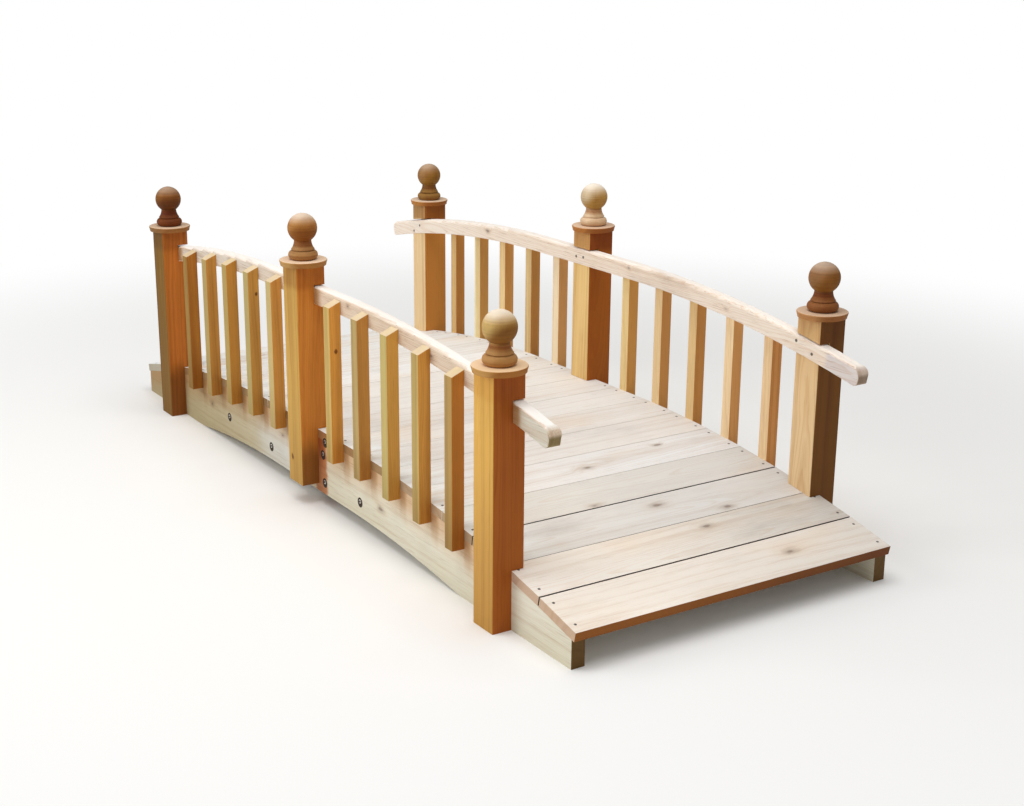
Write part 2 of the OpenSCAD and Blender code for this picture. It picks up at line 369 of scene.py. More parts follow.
def cedar(name, grain, seed, three_tones, year, front_shade_tint, middle=(0, 0, 0), pith=0.06, shift=0.0,
          contrast=1.0, bleach_and_top_light=0.4, bleached_and_lit_tone=(0.93, 0.87, 0.78), end_tint=(0.79, 0.65, 0.52), knots=(),
          row=None, smudge=0.0, checks=0.0, turned=0.0, crown_from=None, marks=()):
    """Sound wood with its layers, darkened by late wood, smudges, checks and knots, and lightened on
    faces that look up by the sun's bleaching and painted light. The faces at the front of the bridge
    are multiplied by the front tint, which is painted shade, sawn ends by the end tint, and each mark
    is a mask, a function of the wood, with its tint."""
    wood = Wood(name, grain, seed, middle, row)
    halo, cloud, core = knot_zones(wood, knots) if knots else (0.0, 0.0, 0.0)
    stripes, late = year_layers(wood, pith, year, halo)
    fibre = wood.patches(900.0, 0.02, 1.0)
    rings = wood.ripple(wood.z + wood.away[2], 170.0, 2.0, 0.7) if turned else 0.0
    cracks = wood.rise(wood.patches(380.0, 0.035, 2.0), 0.10, 0.20) if checks else 0.0

    color = layered_color(wood, three_tones, stripes, fibre, rings, contrast, shift, turned)
    color = wood.mix(late * (0.55 * contrast), color, late_tint, "MULTIPLY")
    if smudge:
        grey = wood.rise(wood.patches(7.0, 0.3, 5.0, 0.62), 0.03, 0.28)
        color = wood.mix(grey * smudge, color, smudge_tint, "MULTIPLY")
    if checks:
        color = wood.mix(cracks * checks, color, check_tint, "MULTIPLY")
    uneven = wood.patches(14.0, 0.25, 3.0) * 0.9 + 1.0
    # painted light: faces that look up are lightened, standing in part for real sun bleaching
    color = wood.mix(sunny(wood, crown_from) * bleach_and_top_light * uneven, color, bleached_and_lit_tone)
    if knots:
        color = wood.mix(halo * 0.40, color, halo_tint, "MULTIPLY")
        color = wood.mix(cloud * 0.50, color, cloud_tone)
        color = wood.mix(core * 0.55, color, core_tone)
    sawn = wood.rise(abs((wood.nx, wood.ny, wood.nz)[wood.grain]), 0.7, 0.93)
    color = wood.mix(sawn, color, end_tint, "MULTIPLY")
    # painted shade: faces towards the front end of the bridge get the colour of the shaded side
    color = wood.mix(wood.faces_front, color, front_shade_tint, "MULTIPLY")
    for mask, tint in marks:
        color = wood.mix(mask(wood), color, tint, "MULTIPLY")

    bumps = fibre * 0.9 + late * 0.35 + stripes * 0.3 + rings * 1.2 - cracks * 0.6
    relief = wood.node("ShaderNodeBump", None, {"Strength": 0.35, "Distance": bump_depth, "Height": bumps})
    return wood.feed(Base_Color=color, Roughness=fibre * 0.25 + late * 0.06 + 0.62, Normal=relief,
                     Specular_IOR_Level=0.2)


print("a finish of cedar is ready")

# %% [markdown]
# A solid is dressed by name. Its finish counts distances from the middle of the solid's own box,
# so the layers run through that piece alone, as if each piece had been sawn from its own log.

# %% Dress a solid
def dress(node, material):
    """Puts a material into every slot of a solid."""
    mesh = nodes[node].data
    if not mesh.materials:
        mesh.materials.append(material)
    for slot in range(len(mesh.materials)):
        mesh.materials[slot] = material


def middle_of(node):
    """The middle of a solid's box, from which its finish counts."""
    low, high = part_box(node)
    return tuple((low + high) / 2)


print("the middle of the first board:", np.round(middle_of("deck_board_01"), 3))

# %% [markdown]
# ## Marks of weather and use
# Years outdoors leave marks that belong to one face or one stretch of a piece. Each is a mask,
# which says how strongly a point is marked, and a tint that multiplies the colour there. In most
# of them a little noise is added to the place before it is compared, so that the mark doesn't
# end in a ruled line.

# %% Marks that several pieces share
def damp(amount):
    """The lowest 15 cm, greyed by splashes."""
    def mask(wood):
        return (1 - wood.rise(wood.z + wood.patches(9.0, 0.5, 3.0) * 0.12, 0.0, 0.15)) * amount
    return mask, (0.74, 0.70, 0.58)


def above(height, tint):
    """What lies higher than a height."""
    def mask(wood):
        return wood.rise(wood.z + wood.patches(20.0, 0.5, 2.0) * 0.02, height - 0.012, height + 0.012)
    return mask, tint


def towards_ground(low, high, tint, front=1.0):
    """Grows from nothing at the high level to full at the low one; front faces get that share of it."""
    def mask(wood):
        sunk = 1 - wood.rise(wood.z + wood.patches(12.0, 0.4, 2.0) * 0.06, low, high)
        return sunk * (1 - wood.faces_front * (1 - front))
    return mask, tint


def upwards(low, high, tint):
    """Grows from nothing at the low level to full at the high one, but not on front faces."""
    def mask(wood):
        return wood.rise(wood.z + wood.patches(12.0, 0.4, 2.0) * 0.06, low, high) * (1 - wood.faces_front)
    return mask, tint


def one_of_row(x, half_width, tint):
    """One piece of a row, told from its neighbours by its place along the bridge, but for its top."""
    def mask(wood):
        within = 1 - wood.rise(abs(wood.x - x), half_width, half_width * 1.3)
        return within * (1 - wood.rise(wood.nz, 0.4, 0.8))
    return mask, tint


def blemish(spot, size):
    """A small dead knot: a dark spot round a point of the surface, longer up and down than across."""
    def mask(wood):
        away = ((wood.x - spot[0]) ** 2 + (wood.y - spot[1]) ** 2 + ((wood.z - spot[2]) * 0.7) ** 2) ** 0.5
        return 1 - wood.rise(away + wood.patches(90.0, 0.6, 2.0) * size, size * 0.4, size * 1.1)
    return mask, (0.30, 0.20, 0.13)


print("six kinds of mark")

# %% [markdown]
# ## The deck
# The boards come from different logs, so each has its own pith, tone and patches. They lie in
# the sun and are walked on, so their tops are the palest wood of the bridge, nearly cream, with
# a few dark knots. The knots run down through a board, so they are placed by X and Y only.
# Boards are numbered from the back end. Those near the front end are seen best, so they have
# tones of their own.

# %% Deck boards
board_n = sum(name.startswith("deck_board_") for name in nodes)
deck_tones = {18: (0.99, 0.90, 0.79), 17: (0.98, 0.925, 0.845), 16: (0.81, 0.765, 0.705),
              15: (0.80, 0.745, 0.665), 14: (0.88, 0.85, 0.81), 13: (0.82, 0.78, 0.735),
              12: (0.81, 0.77, 0.725), 11: (0.845, 0.805, 0.755), 10: (0.84, 0.805, 0.76),
              9: (0.85, 0.82, 0.775), 8: (0.87, 0.845, 0.80)}
deck_tones.update({i: (0.91, 0.89, 0.85) for i in range(1, 8)})
right_tints = {18: (0.81, 0.82, 0.84), 17: (0.69, 0.70, 0.71), 16: (0.86, 0.88, 0.91),
               15: (0.86, 0.88, 0.92), 14: (0.93, 0.97, 1.02)}
# tints of the sawn board ends: darker end grain, with painted shade over much of it
end_grain_and_shade_tints = {1: (0.50, 0.44, 0.34), 2: (0.50, 0.44, 0.34), 10: (0.38, 0.18, 0.07), 11: (0.40, 0.22, 0.095),
             12: (0.44, 0.28, 0.14), 17: (0.68, 0.53, 0.42), 18: (0.68, 0.53, 0.42)}
end_grain_and_shade_tints.update({i: (0.35, 0.215, 0.105) for i in range(3, 10)})
end_grain_and_shade_tints.update({i: (0.56, 0.40, 0.26) for i in range(13, 17)})
# the front edges of the boards near the front end carry painted shade, darkest in the gaps between boards
edge_shade_tints = {18: (0.31, 0.11, 0.015), 17: (0.10, 0.08, 0.07), 16: (0.50, 0.48, 0.45),
              15: (0.14, 0.13, 0.12)}
# each knot: its place along and across the bridge, and its size
deck_knots = {3: [(-1.0, -0.2, 0.011)], 6: [(-0.62, 0.13, 0.010)], 9: [(-0.09, 0.3, 0.009)],
              14: [(0.686, 0.002, 0.011), (0.639, 0.281, 0.008)], 15: [(0.886, -0.116, 0.009)],
              16: [(0.947, 0.041, 0.012), (1.028, 0.211, 0.011)], 17: [(1.086, 0.095, 0.011)],
              18: [(1.261, 0.222, 0.012)]}


def blush(wood):
    """Soft patches in which the wood is a little redder."""
    return wood.rise(wood.patches(4.0, 0.45, 3.0), 0.03, 0.24) * 0.7


def lit_left_strip(wood):
    """The ends next to the left handrail are lightened with painted light."""
    return 1 - wood.rise(wood.y + wood.patches(9.0, 0.6, 3.0) * 0.12, -0.43, -0.30)


def towards_right(wood):
    """Grows from the left end of a board to its right end."""
    return wood.rise(wood.y + wood.patches(3.0, 0.5) * 0.2, -0.45, 0.5)


def shaded_right_edge(wood):
    """The right half of a board's front edge, darkened with painted shade."""
    return wood.faces_front * wood.rise(wood.y + wood.patches(9.0, 0.5) * 0.5, -0.3, 0.5)


def board_marks(i):
    marks = [(blush, (1.0, 0.915, 0.82))]
    if i <= 16:
        marks.append((lit_left_strip, (1.10, 1.17, 1.22) if i > 10 else (1.05, 1.10, 1.14)))
    if i in right_tints:
        marks.append((towards_right, right_tints[i]))
    if i == board_n:
        marks.append((shaded_right_edge, (0.70, 0.62, 0.60)))
    return marks


chance = np.random.default_rng(11)
for i in range(1, board_n + 1):
    node = f"deck_board_{i:02d}"
    shift, warmth = chance.uniform(-0.06, 0.06), chance.uniform(-0.02, 0.02)
    middle = tuple(float(c) for c in np.array(deck_tones[i]) * (1, 1 - warmth, 1 - 2 * warmth))
    knots = [((x, y, 0.0), 2, size) for x, y, size in deck_knots.get(i, [])]
    dress(node, cedar("cedar_" + node, "y", 100 + i, tones(middle, 0.75), 0.0030 + 0.0003 * (i % 3),
                      edge_shade_tints.get(i, (1.1, 1.1, 1.1)), middle_of(node), pith=0.05 + 0.01 * (i % 4),
                      shift=float(shift), contrast=0.5, bleach_and_top_light=0.0, end_tint=end_grain_and_shade_tints[i], knots=knots,
                      smudge=0.8, checks=0.25, marks=board_marks(i)))
print(board_n, "deck boards dressed")

# %% [markdown]
# ## Stringers and cross joists
# The bowed stringers are rough-sawn and stand nearest the ground, so rain splash has greyed
# them a little low down. Painted shade browns the upper edge of their outer faces under the ends
# of the deck boards, and a painted shadow browns the strip beside each baluster. The painted shade
# follows the deck's own curve, which is level at the crown and an arc to either side. The joists
# between the stringers never see the sun.

# %% Stringers and joists
crown_l, arch_r, board_t = 0.500, 4.600, 0.025
stringer_top = float(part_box("stringer_left")[1][2])
row_n, baluster_w = 5, 0.036
row_low, row_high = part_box("balusters_left_front")
row_first = row_low[0] + baluster_w / 2
row_pitch = (row_high[0] - row_low[0] - baluster_w) / (row_n - 1)


def painted_deck_shade(wood):
    """Painted shade under the deck, strongest just under it and gone 11 cm lower down.
    underside of the deck = top - radius + root of (radius squared - distance past the crown squared)"""
    radius = arch_r - board_t
    beyond = wood.node("ShaderNodeMath", {"operation": "MAXIMUM"}, {0: abs(wood.x) - crown_l / 2, 1: 0.0})
    below = stringer_top - radius + (radius ** 2 - beyond ** 2) ** 0.5 - wood.z
    return (1 - wood.rise(below + wood.patches(16.0, 0.6, 3.0) * 0.04, 0.010, 0.110)) * 0.85


def painted_shade_below_deck(wood):
    """The same painted shade, but not in front of the front posts, where no baluster stands."""
    return painted_deck_shade(wood) * (1 - wood.rise(wood.x, 0.98, 1.08))


def painted_baluster_shadows(wood):
    """Painted shadow of a baluster on the strip next to it."""
    side = wood.node("ShaderNodeMath", {"operation": "SIGN"}, {0: wood.x})
    number = round((abs(wood.x) - row_first) / row_pitch)
    past = wood.x - side * (number * row_pitch + row_first) + wood.patches(30.0, 0.5, 2.0) * 0.02
    strip = wood.rise(past, 0.008, 0.024) * (1 - wood.rise(past, 0.040, 0.062))
    return strip * (1 - wood.rise(abs(wood.x), 0.90, 0.93)) * painted_shade_below_deck(wood)


def painted_shade_towards_back(wood):
    """Painted shade that grows from the front end of the bridge to the back one."""
    return 1 - wood.rise(wood.x + wood.patches(3.0, 0.5) * 0.3, -0.9, 0.78)


def painted_light_stretch(wood):
    """Behind the middle post the lower part of the stringer's faces is lightened with painted light."""
    stretch = wood.rise(wood.x + wood.patches(10.0, 0.5, 3.0) * 0.2, -0.48, -0.30)
    stretch = stretch * (1 - wood.rise(wood.x, -0.05, 0.0))
    return stretch * (1 - painted_deck_shade(wood)) * wood.rise(abs(wood.ny), 0.5, 0.9)


def painted_post_shadow(wood):
    """Painted shadow of the middle post on the wood round the bolts beside it."""
    return (1 - wood.rise(abs(wood.x - 0.06) + wood.patches(40.0, 0.6, 3.0) * 0.03, 0.028, 0.048)) * 0.9


# the splash grey is real; the other stringer marks are painted shade, painted shadows and painted light
stringer_marks = [damp(0.5), (painted_shade_below_deck, (0.82, 0.56, 0.37)), (painted_baluster_shadows, (0.70, 0.55, 0.40)),
                  (painted_shade_towards_back, (0.58, 0.51, 0.37)), (painted_light_stretch, (1.10, 1.20, 1.50)),
                  (painted_post_shadow, (0.66, 0.24, 0.08))]
stringer_knots = [((0.42, 0, 0.10), 1, 0.009), ((-0.75, 0, 0.10), 1, 0.010), ((-0.2, 0, 0.14), 1, 0.007)]
for number, side in enumerate(("left", "right")):
    node = "stringer_" + side
    # the front tint gives the near end faces of the stringers painted shade
    dress(node, cedar("cedar_" + node, "x", 210 + number, tones((0.88, 0.85, 0.72), 0.8), 0.0040,
                      (0.23, 0.155, 0.06), middle_of(node), pith=0.09, contrast=0.35, bleach_and_top_light=0.2,
                      smudge=0.6, checks=0.4, marks=stringer_marks, knots=stringer_knots))
dress("cross_joists", cedar("cedar_joists", "y", 230, tones((0.62, 0.44, 0.25)), 0.0042, (0.80, 0.66, 0.55),
                            marks=[damp(0.5)]))
print("stringers and joists dressed, balusters", round(row_pitch * 1000, 1), "mm apart")

# %% [markdown]
# ## Posts
# The posts are sawn square from near the heart of a log, where the wood runs from honey to red
# brown in wide upright stripes. The sun side is golden; the faces towards the front end of the
# bridge are much redder and darker with painted shade. The posts on the right side are a little
# paler than those on the left. The few centimetres below each cap carry a painted shadow of the
# cap.

# %% Posts
# the middle tone, the tint of the front face, which is painted shade, and the tint of the painted shadow
# under the cap
post_woods = {"left_front": ((0.79, 0.46, 0.10), (0.515, 0.24, 0.115), (0.95, 0.88, 0.80)),
              "left_middle": ((0.64, 0.38, 0.085), (1.05, 0.64, 0.42), (0.80, 0.70, 0.60)),
              # the back left post is darkened all round with painted shade, so its front tint is above one
              "left_back": ((0.20, 0.097, 0.0095), (2.40, 1.50, 2.0), (0.80, 0.75, 0.70)),
              # the front right post's front face is darkened further with painted shade
              "right_front": ((0.88, 0.64, 0.36), (0.198, 0.100, 0.018), (0.90, 0.84, 0.74)),
              "right_middle": ((0.88, 0.62, 0.26), (0.44, 0.175, 0.030), (0.70, 0.54, 0.44)),
              "right_back": ((0.88, 0.65, 0.36), (0.64, 0.35, 0.11), (0.56, 0.43, 0.28))}
cap_shadow_h = 0.060


def foot(wood):
    """Painted shade on the front face below the deck."""
    return (1 - wood.rise(wood.z + wood.patches(14.0, 0.5, 3.0) * 0.08, 0.13, 0.21)) * wood.faces_front


shaded_foot = (foot, (0.48, 0.50, 0.55))
post_marks = {"left_front": [towards_ground(0.08, 0.50, (0.76, 0.70, 0.70), front=0.1)],
              "left_middle": [shaded_foot, towards_ground(0.08, 0.45, (0.84, 0.82, 0.84)),
                              blemish((-0.018, -0.5515, 0.135), 0.009)],
              "left_back": [shaded_foot],
              # on the front right post the faces other than the front darken upwards with painted shade
              "right_front": [upwards(0.30, 0.62, (0.88, 0.82, 0.74))]}
for number, (place, (middle, front_shade_tint, cap_shadow_tint)) in enumerate(post_woods.items()):
    node = "post_" + place
    top = float(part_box(node)[1][2])
    marks = [damp(0.4), above(top - cap_shadow_h, cap_shadow_tint)] + post_marks.get(place, [])
    dress(node, cedar("cedar_" + node, "z", 300 + number, tones(middle, 0.9), 0.0030, front_shade_tint,
                      middle_of(node), pith=0.055, contrast=0.95 if place == "left_front" else 0.80,
                      bleach_and_top_light=0.5, checks=0.3, marks=marks))
print(len(post_woods), "posts dressed")

# %% [markdown]
# ## Caps and finials
# Both are turned on a lathe and have been oiled darker by handling. The tops of the caps and the
# crowns of the balls are lightened, partly by rain and sun and partly with painted light, and each
# ball gets painted shade on one side and at its neck. A cap is turned from a flat board, so its grain
# lies level, and a finial from a square length, so its grain stands upright. A ball cut from
# upright grain shows its layers as ovals on two sides, which the same formula gives by itself.

# %% Caps and finials
# the middle tone, how far its crown is lightened by weather and painted light, the tint of its painted
# shade side, and the tint of its foot
finial_woods = {"left_front": ((0.60, 0.395, 0.135), 0.80, (0.45, 0.30, 0.14), (0.84, 0.66, 0.64)),
                "left_middle": ((0.46, 0.21, 0.053), 0.6, (0.62, 0.45, 0.18), (0.96, 1.08, 1.5)),
                "left_back": ((0.25, 0.095, 0.0154), 0.25, (0.52, 0.38, 0.16), (0.66, 0.43, 0.33)),
                "right_front": ((0.28, 0.132, 0.048), 0.35, (0.91, 0.77, 0.25), (0.98, 0.77, 0.57)),
                "right_middle": ((0.62, 0.48, 0.30), 1.0, (0.78, 0.57, 0.22), (1.20, 1.12, 1.15)),
                "right_back": ((0.3255, 0.166, 0.058), 0.25, (0.90, 0.85, 0.34), (0.857, 0.84, 0.51))}
# the middle tone, the tone that its top is lightened to by weather and painted light, and the tint of its
# front edge, painted shade
cap_woods = {"left_front": ((0.60, 0.35, 0.11), (0.92, 0.66, 0.42), (0.70, 0.46, 0.26)),
             "left_middle": ((0.56, 0.34, 0.12), (0.88, 0.66, 0.48), (0.72, 0.50, 0.32)),
             # the back left cap is darkened with painted shade as well
             "left_back": ((0.28, 0.15, 0.055), (0.76, 0.55, 0.38), (1.10, 0.80, 0.50)),
             "right_front": ((0.50, 0.26, 0.10), (0.66, 0.48, 0.34), (0.62, 0.44, 0.28)),
             "right_middle": ((0.47, 0.20, 0.05), (0.78, 0.60, 0.44), (0.66, 0.46, 0.30)),
             "right_back": ((0.50, 0.23, 0.06), (0.78, 0.60, 0.44), (0.66, 0.46, 0.28))}
# how far below the top of a finial the neck under the ball lies, and how far down its crown is lightened
neck_down, crown_down = 0.084, 0.045


def finial_marks(top, dark_way, shade, foot_tint):
    """A ball gets painted shade on the side that looks the dark way and at its neck, and the foot has a
    tint of its own."""
    neck_z = top - neck_down

    def ball(wood):
        return wood.rise(wood.z, neck_z, neck_z + 0.008)

    def painted_shade_side(wood):
        towards = wood.nx * dark_way[0] + wood.ny * dark_way[1] + wood.nz * dark_way[2]
        return wood.rise(towards + wood.patches(30.0, 0.8, 2.0) * 0.25, -0.1, 0.6) * ball(wood)

    # painted shade at the neck under the ball
    def neck(wood):
        return 1 - wood.rise(abs(wood.z - neck_z), 0.003, 0.013)

    def below_ball(wood):
        return 1 - ball(wood)

    return [(painted_shade_side, shade), (neck, (0.78, 0.60, 0.48)), (below_ball, foot_tint)]


for number, (place, (middle, bleach_and_top_light, shade, foot_tint)) in enumerate(finial_woods.items()):
    cap = "cap_" + place
    cap_middle, bleached_and_lit_tone, front_shade_tint = cap_woods[place]
    dress(cap, cedar("cedar_" + cap, "y", 400 + number, tones(cap_middle), 0.0028, front_shade_tint,
                     middle_of(cap), contrast=0.6, bleach_and_top_light=0.8, bleached_and_lit_tone=bleached_and_lit_tone,
                     end_tint=(0.96, 0.88, 0.80), checks=0.3))
    finial = "finial_" + place
    top = float(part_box(finial)[1][2])
    dark_way = (0.4, -0.1, -0.9) if place in ("left_middle", "left_back") else (0.6, 0.2, -0.8)
    dress(finial, cedar("cedar_" + finial, "z", 420 + number, tones(middle, 0.8), 0.0026,
                        (0.90, 0.82, 0.72), middle_of(finial), pith=0.05, contrast=0.2, bleach_and_top_light=bleach_and_top_light,
                        bleached_and_lit_tone=(0.88, 0.78, 0.65), end_tint=(1.0, 1.0, 1.0), turned=0.9,
                        crown_from=top - crown_down, marks=finial_marks(top, dark_way, shade, foot_tint)))
print(len(cap_woods), "caps and", len(finial_woods), "finials dressed")

# %% [markdown]
# ## Handrails and balusters
# The handrails are sawn to the curve from one wide plank, so the grain runs straight through
# and comes out at the curved edges. Sun and hands have made them as pale as the deck, but for
# the outer faces beside the posts, darker partly in their own tone and partly with painted shade,
# and the sawn ends, darker end grain with painted shade. The balusters stand in rows of five: they
# share a material in which the distance along the bridge gives each its own number, and that
# number its own pith and tone.

# %% Handrails
def outer_face(outwards):
    """The outer face of a handrail, from end to end between its overhangs."""
    def mask(wood):
        return wood.rise(wood.ny * outwards, 0.75, 0.95) * (1 - wood.rise(abs(wood.x), 1.08, 1.15))
    return mask


def outer_face_at_posts(outwards):
    """The outer face of a handrail beside its three posts, darkened there partly in its own tone and partly
    with painted shade.
    """
    def mask(wood):
        clear = 1.0
        # where each post stands, how near to it counts, and the width of the fade
        for x, near, fade in ((-1.03, 0.06, 0.04), (0.0, 0.06, 0.04), (1.03, 0.062, 0.022)):
            away = abs(wood.x - x) + wood.patches(20.0, 0.5, 2.0) * 0.02
            clear = wood.rise(away, near, near + fade) * clear
        return wood.rise(wood.ny * outwards, 0.75, 0.95) * (1 - clear)
    return mask


def sawn_end(wood):
    """The sawn ends of a handrail and the round below them, but not the round above: darker end grain, with
    painted shade.
    """
    return wood.rise(abs(wood.nx) - wood.nz * 0.6, 0.75, 1.0)


def whole_end(wood):
    """Both rounds and the sawn end of a handrail, darkened with painted shade."""
    return wood.rise(abs(wood.nx), 0.5, 0.75)


def back_half(wood):
    """Both sides of a handrail behind the middle post."""
    return wood.rise(abs(wood.ny), 0.75, 0.95) * (1 - wood.rise(wood.x, -0.40, -0.05))


def overhang(wood):
    """Both sides of a handrail where it stands out past the front post."""
    past_post = wood.rise(wood.x + wood.patches(20.0, 0.5, 2.0) * 0.02, 1.09, 1.11)
    return wood.rise(abs(wood.ny), 0.75, 0.95) * past_post


# the ends of both handrails are darker end grain with painted shade
rail_marks = {"left": [(overhang, (0.82, 0.89, 0.89)), (sawn_end, (0.38, 0.36, 0.21)),
                       (back_half, (0.96, 1.05, 1.16))],
              "right": [(overhang, (0.82, 0.86, 0.97)), (sawn_end, (0.52, 0.48, 0.42)),
                        (whole_end, (0.82, 0.80, 0.86))]}
rail_bleach_and_top_light = {"left": 0.85, "right": 0.5}
rail_knots = [((0.70, 0, 0.60), 1, 0.006), ((-0.55, 0, 0.62), 1, 0.007), ((0.25, 0, 0.635), 1, 0.005)]
for number, (side, outwards) in enumerate((("left", -1), ("right", 1))):
    node = "handrail_" + side
    marks = [(outer_face(outwards), (0.88, 0.82, 0.74)),
             (outer_face_at_posts(outwards), (0.60, 0.42, 0.25))] + rail_marks[side]
    dress(node, cedar("cedar_" + node, "x", 510 + number, tones((0.94, 0.83, 0.715), 0.9), 0.0034,
                      (0.92, 0.88, 0.82), middle_of(node), pith=0.08, contrast=0.8,
                      bleach_and_top_light=rail_bleach_and_top_light[side], bleached_and_lit_tone=(0.98, 0.95, 0.90), end_tint=(0.92, 0.89, 0.84),
                      smudge=1.0, checks=0.8, marks=marks, knots=rail_knots))
print("handrails dressed")

# %% Balusters
# the middle tone, darker on the left row partly with painted shade, and the tint of the front face, painted
# shade
baluster_woods = {"left": ((0.49, 0.345, 0.105), (1.17, 0.74, 0.40)),
                  "right": ((0.92, 0.72, 0.40), (0.72, 0.46, 0.24))}
# one tint for each baluster of a row, listed from the middle post outwards
baluster_tints = {"left_front": [(1.2, 1.2, 1.28), (0.95, 0.96, 1.2), (1.05, 1.18, 1.4),
                                 (1.15, 1.2, 1.35), (0.88, 0.78, 0.78)],
                  "left_back": [(1.15, 1.25, 1.7), (0.95, 1.05, 1.3), (0.84, 0.84, 0.85),
                                (0.95, 0.98, 1.15), (0.87, 0.80, 0.65)],
                  "right_front": [(1.0, 0.98, 0.85), (0.93, 0.87, 0.85), (0.90, 0.82, 0.72),
                                  (1.12, 1.12, 1.25), (1.12, 1.10, 1.2)],
                  "right_back": [(1.05, 1.12, 1.4), (0.87, 0.85, 0.76), (1.03, 1.0, 0.92),
                                 (1.1, 1.25, 1.3), (0.83, 0.72, 0.56)]}
# the left balusters darken towards the ground with painted shade, and the blemishes are small dead knots
left_marks = [towards_ground(0.12, 0.34, (0.74, 0.68, 0.60)), blemish((0.2073, -0.515, 0.50), 0.006),
              blemish((-0.334, -0.507, 0.556), 0.006)]
for number, (place, tints) in enumerate(baluster_tints.items()):
    node = "balusters_" + place
    side, end = place.split("_")
    ahead = 1 if end == "front" else -1
    middle, front_shade_tint = baluster_woods[side]
    marks = [one_of_row(ahead * (row_first + k * row_pitch), 0.03, tint) for k, tint in enumerate(tints)]
    if side == "left":
        marks += left_marks
    row_middle = (0.0, *middle_of(node)[1:])
    dress(node, cedar("cedar_" + node, "z", 530 + number, tones(middle, 0.9), 0.0028, front_shade_tint,
                      row_middle, pith=0.05, contrast=0.65, bleach_and_top_light=0.85, bleached_and_lit_tone=(0.79, 0.63, 0.42),
                      end_tint=(1.0, 1.0, 1.0), row=(row_first, row_pitch), checks=0.3, marks=marks))
print(len(baluster_tints), "rows of balusters dressed")

# %% [markdown]
# ## Screws and nails
# The deck boards are nailed to the stringers near their ends, two nails to an end. Screws hold
# each handrail to its posts, and bolts hold the stringers to the joists. A head is a small
# turned shape, so one profile of radius and height is carried round a circle. All heads of one
# kind go into a single mesh, worked out as one array, and each is set on its own point of the
# wood with its axis along the face's outward direction.

# %% A field of turned heads
def heads(name, profile, points, directions, segments):
    """Turned heads at many points.
    vertex = point + radius * (cos a * side + sin a * other side) + height * direction
    The profile is a list of (radius, height) from a pole on the axis, outwards, to a pole below."""
    profile = np.array(profile, float)
    points, out = np.array(points, float), np.array(directions, float)
    out /= np.linalg.norm(out, axis=1, keepdims=True)
    helper = np.where(np.abs(out[:, 2:3]) > 0.9, [[1.0, 0.0, 0.0]], [[0.0, 0.0, 1.0]])
    side = np.cross(helper, out)
    side /= np.linalg.norm(side, axis=1, keepdims=True)
    other = np.cross(out, side)
    angle = np.arange(segments) * 2 * np.pi / segments
    cosine, sine = np.cos(angle)[None, :, None], np.sin(angle)[None, :, None]
    circle = cosine * side[:, None, :] + sine * other[:, None, :]
    rings = profile[1:-1]
    grid = (points[:, None, None, :] + rings[None, :, 0, None, None] * circle[:, None, :, :]
            + rings[None, :, 1, None, None] * out[:, None, None, :])
    poles = points[:, None, :] + profile[[0, -1], 1][None, :, None] * out[:, None, :]
    count, ring_n = len(points), len(rings)
    each = ring_n * segments + 2
    vertices = np.concatenate([grid.reshape(count, -1, 3), poles], axis=1).reshape(-1, 3)
    here = np.arange(segments)
    following = (here + 1) % segments
    ring = np.arange(ring_n - 1)[:, None] * segments
    below = ring + segments
    walls = np.stack([ring + here, below + here, below + following, ring + following], axis=-1)
    last = (ring_n - 1) * segments
    top = np.stack([np.full(segments, each - 2), here, following], axis=-1)
    bottom = np.stack([np.full(segments, each - 1), last + following, last + here], axis=-1)
    step = (np.arange(count) * each)[:, None, None]
    faces = (walls.reshape(-1, 4)[None] + step).reshape(-1, 4).tolist()
    faces += (np.concatenate([top, bottom])[None] + step).reshape(-1, 3).tolist()
    mesh = bpy.data.meshes.new(name)
    mesh.from_pydata(vertices.tolist(), [], faces)
    mesh.shade_smooth()
    piece = bpy.data.objects.new(name, mesh)
    scene.collection.objects.link(piece)
    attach(piece, "root")
    print(name, count, "heads,", len(faces), "faces")
    return piece


def metal(name, color, roughness):
    """Steel that rain has dulled: the colour and the gloss both follow a fine, uneven patch."""
    finish = Finish(name)
    rust = finish.rise(finish.noise(finish.place, 700.0, 3.0), 0.0, 0.22)
    tint = finish.mix(rust, color, (0.16, 0.09, 0.055))
    return finish.feed(Base_Color=tint, Roughness=rust * 0.3 + roughness, Metallic=1 - rust * 0.7)


print("turned heads and their metal are ready")

# %% [markdown]
# The places of the nails come from the boards themselves: the middle of a board's top and its
# slope are read from its corners.

# %% Nails in the deck
deck_edge = float(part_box("deck_board_01")[1][1])
nail_in, nail_apart = 0.019, 0.045


def top_of_board(node):
    """The middle of a board's upper face, and the direction from its back edge to its front edge."""
    mesh = nodes[node].data
    corners = np.zeros(len(mesh.vertices) * 3)
    mesh.vertices.foreach_get("co", corners)
    corners = corners.reshape(-1, 3)
    corners = corners[np.argsort(corners[:, 0])]
    half = len(corners) // 2
    back, front = [part[np.argmax(part[:, 2])] for part in (corners[:half], corners[half:])]
    along = (front - back) * [1, 0, 1]
    return (front + back) / 2 * [1, 0, 1], along / np.linalg.norm(along)


points, directions = [], []
for i in range(1, board_n + 1):
    centre, along = top_of_board(f"deck_board_{i:02d}")
    for y in (nail_in - deck_edge, deck_edge - nail_in):
        for step in (-nail_apart, nail_apart):
            points.append(centre + along * step + [0, y, 0])
            directions.append(np.cross(along, [0, 1, 0]))
nail_profile = [(0, 0.0005), (0.0020, 0.0005), (0.0036, 0.0003), (0.0042, -0.0006), (0, -0.0008)]
nail = heads("deck_nails", nail_profile, points, directions, 14)
nail.data.materials.append(metal("nail_steel", (0.16, 0.15, 0.14), 0.5))

